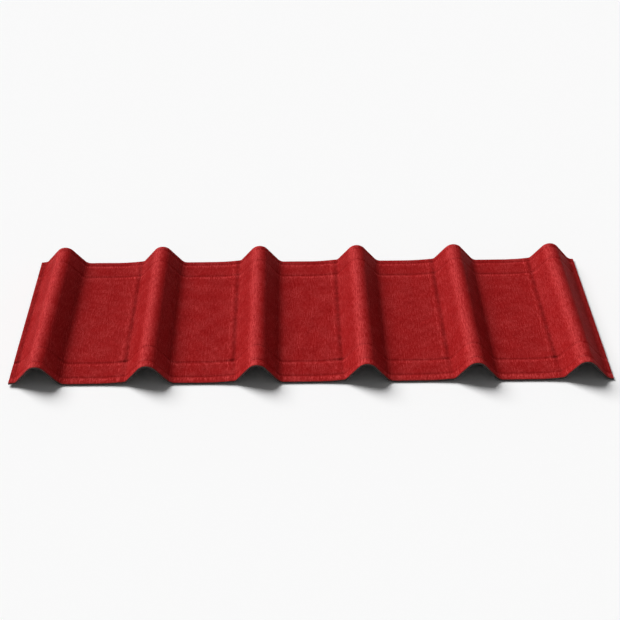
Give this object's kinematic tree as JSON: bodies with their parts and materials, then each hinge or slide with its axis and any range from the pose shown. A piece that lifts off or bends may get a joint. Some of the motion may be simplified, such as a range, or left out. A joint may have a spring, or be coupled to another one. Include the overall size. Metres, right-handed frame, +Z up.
{
  "type": "bitumen roof sheet",
  "caption": "Short wavy roof sheet of bitumen-soaked fibre with a red mineral face, round waves, wide flat valleys and lines pressed across it near its upper and lower ends.",
  "frame": {"origin": "on the floor under the middle of the sheet", "axes": "+X across the waves to the right, +Y up the roof slope from the lower edge, +Z up through the painted face"},
  "size_m": [1.06, 0.4, 0.0408],
  "materials": {
    "roof_sheet": "matte"
  },
  "bodies": {
    "root": {"roof_sheet": "roof_sheet"}
  },
  "joints": []
}
